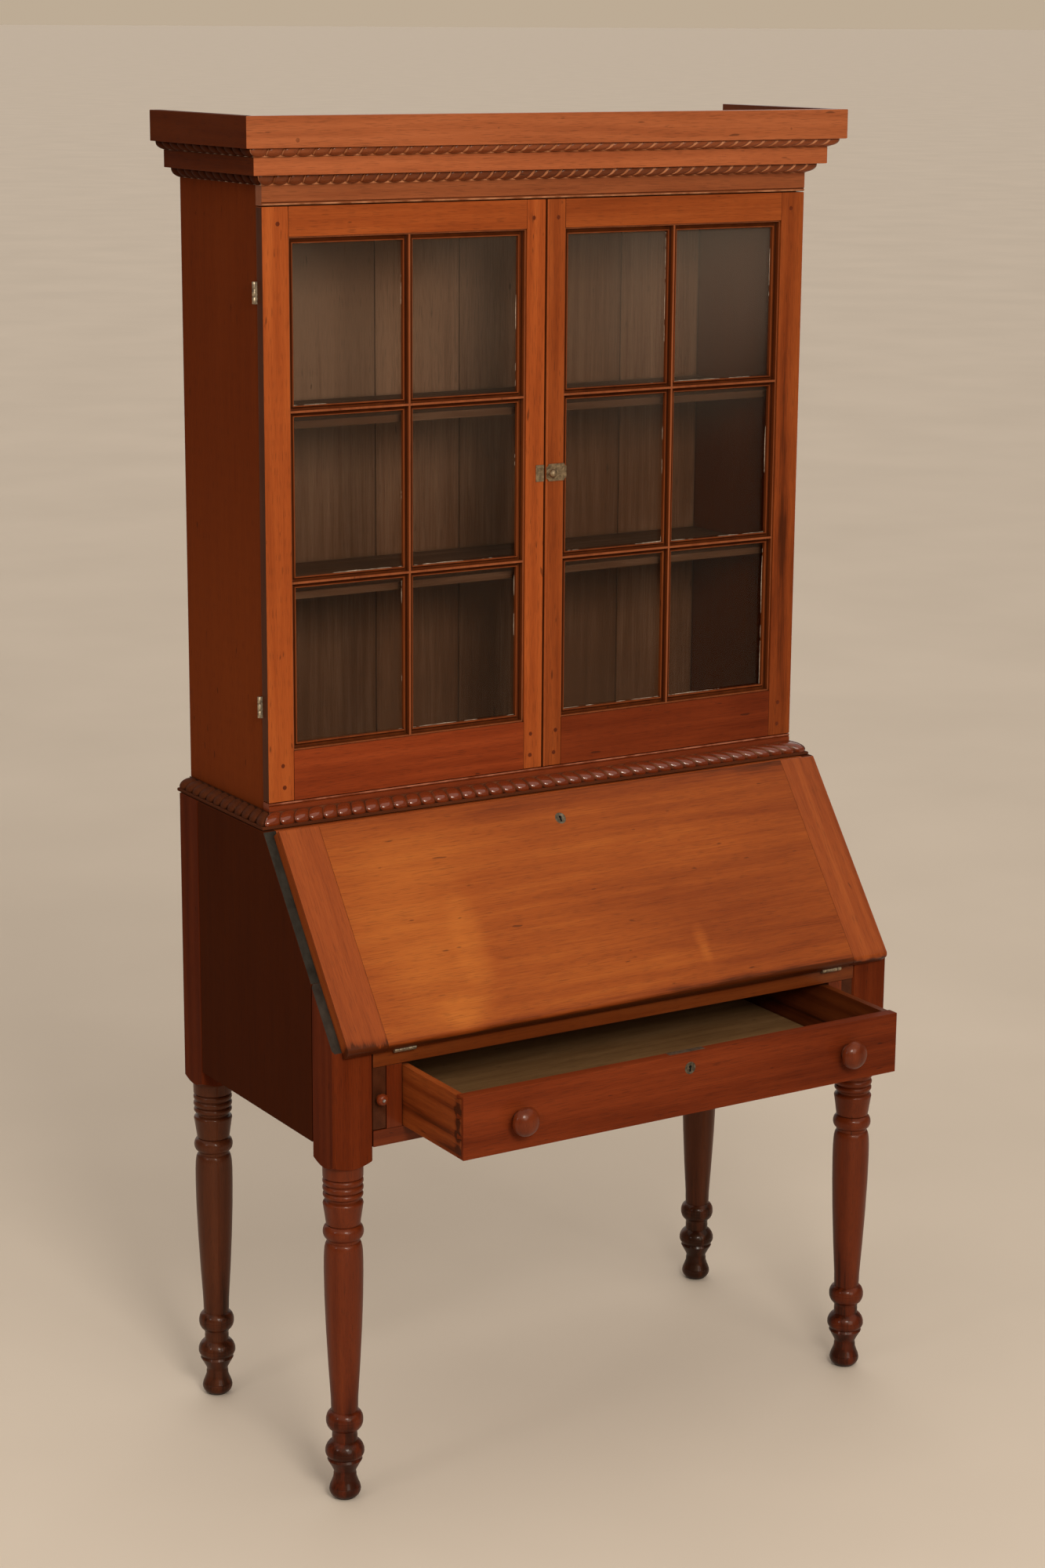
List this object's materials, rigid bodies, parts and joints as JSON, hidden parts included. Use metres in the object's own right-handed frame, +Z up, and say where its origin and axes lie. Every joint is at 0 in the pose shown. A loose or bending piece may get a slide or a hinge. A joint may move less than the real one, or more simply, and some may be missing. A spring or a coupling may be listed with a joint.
{
  "type": "secretary desk",
  "caption": "Slant-front writing desk on turned legs with a wide drawer and pull-out lid supports, carrying a glazed bookcase with rope-carved mouldings.",
  "frame": {"origin": "on the floor under the middle of the whole object's box, drawer standing open at rest", "axes": "+X to the right seen from the front, +Y towards the back, +Z up"},
  "size_m": [1.1114, 0.76, 2.1545],
  "materials": {
    "cherry": "satin shellac",
    "cherry_dark": "satin shellac",
    "poplar": "bare, aged",
    "case_inside": "dull stain",
    "latch_brass": "tarnished",
    "hinge_iron": "worn",
    "glass": "clear"
  },
  "bodies": {
    "case": {"apron_rail": "cherry", "bookcase_back": "case_inside", "bookcase_bottom": "case_inside", "bookcase_side_left": "cherry_dark", "bookcase_side_right": "cherry_dark", "bookcase_top": "case_inside", "cornice_lower": "cherry", "cornice_upper": "cherry", "desk_back": "poplar", "desk_side_left": "cherry_dark", "desk_side_right": "cherry_dark", "desk_top": "cherry", "frieze_rail": "cherry", "leg_back_left": "cherry_dark", "leg_back_right": "cherry_dark", "leg_front_left": "cherry_dark", "leg_front_right": "cherry_dark", "letter_gallery": "cherry", "lid_rail": "cherry", "loper_guide_left": "cherry", "loper_guide_right": "cherry", "shelf_lower": "case_inside", "shelf_upper": "case_inside", "waist_rail": "cherry", "waist_rope": "cherry", "writing_deck": "cherry"},
    "lid": {"lid_panel": "cherry", "lid_cleat_left": "cherry", "lid_cleat_right": "cherry", "lid_hinge_left": "hinge_iron", "lid_hinge_right": "hinge_iron"},
    "drawer": {"drawer_back": "poplar", "drawer_bottom": "poplar", "drawer_front": "cherry", "drawer_knob_left": "cherry_dark", "drawer_knob_right": "cherry_dark", "drawer_side_left": "poplar", "drawer_side_right": "poplar"},
    "loper_left": {"loper_left": "cherry", "loper_knob_left": "cherry_dark"},
    "loper_right": {"loper_right": "cherry", "loper_knob_right": "cherry_dark"},
    "door_left": {"door_left_glass": "glass", "door_left_hinge_lower": "hinge_iron", "door_left_hinge_upper": "hinge_iron", "door_left_muntins": "cherry", "door_left_rail_bottom": "cherry", "door_left_rail_top": "cherry", "door_left_stile_hinge": "cherry", "door_left_stile_lock": "cherry"},
    "door_right": {"door_right_glass": "glass", "door_right_hinge_lower": "hinge_iron", "door_right_hinge_upper": "hinge_iron", "door_right_muntins": "cherry", "door_right_rail_bottom": "cherry", "door_right_rail_top": "cherry", "door_right_stile_hinge": "cherry", "door_right_stile_lock": "cherry", "latch_plate": "latch_brass"},
    "latch": {"latch_knob": "latch_brass"}
  },
  "joints": [
    {"name": "lid_fall", "type": "hinge", "parent": "case", "child": "lid", "pos_m": [0, -0.167, 0.7485], "axis": [1, 0, 0], "range_deg": [0, 127.3]},
    {"name": "drawer_slide", "type": "slide", "parent": "case", "child": "drawer", "axis": [0, -1, 0], "range_m": [-0.186, 0.114]},
    {"name": "loper_left_slide", "type": "slide", "parent": "case", "child": "loper_left", "axis": [0, -1, 0], "range_m": [0, 0.3]},
    {"name": "loper_right_slide", "type": "slide", "parent": "case", "child": "loper_right", "axis": [0, -1, 0], "range_m": [0, 0.3]},
    {"name": "door_left_hinge", "type": "hinge", "parent": "case", "child": "door_left", "pos_m": [-0.51, 0.1176, 1.567], "axis": [0, 0, -1], "range_deg": [0, 120]},
    {"name": "door_right_hinge", "type": "hinge", "parent": "case", "child": "door_right", "pos_m": [0.51, 0.1176, 1.567], "axis": [0, 0, 1], "range_deg": [0, 120]},
    {"name": "latch_turn", "type": "hinge", "parent": "door_right", "child": "latch", "pos_m": [0.009, 0.105, 1.582], "axis": [0, -1, 0], "range_deg": [0, 90]}
  ]
}
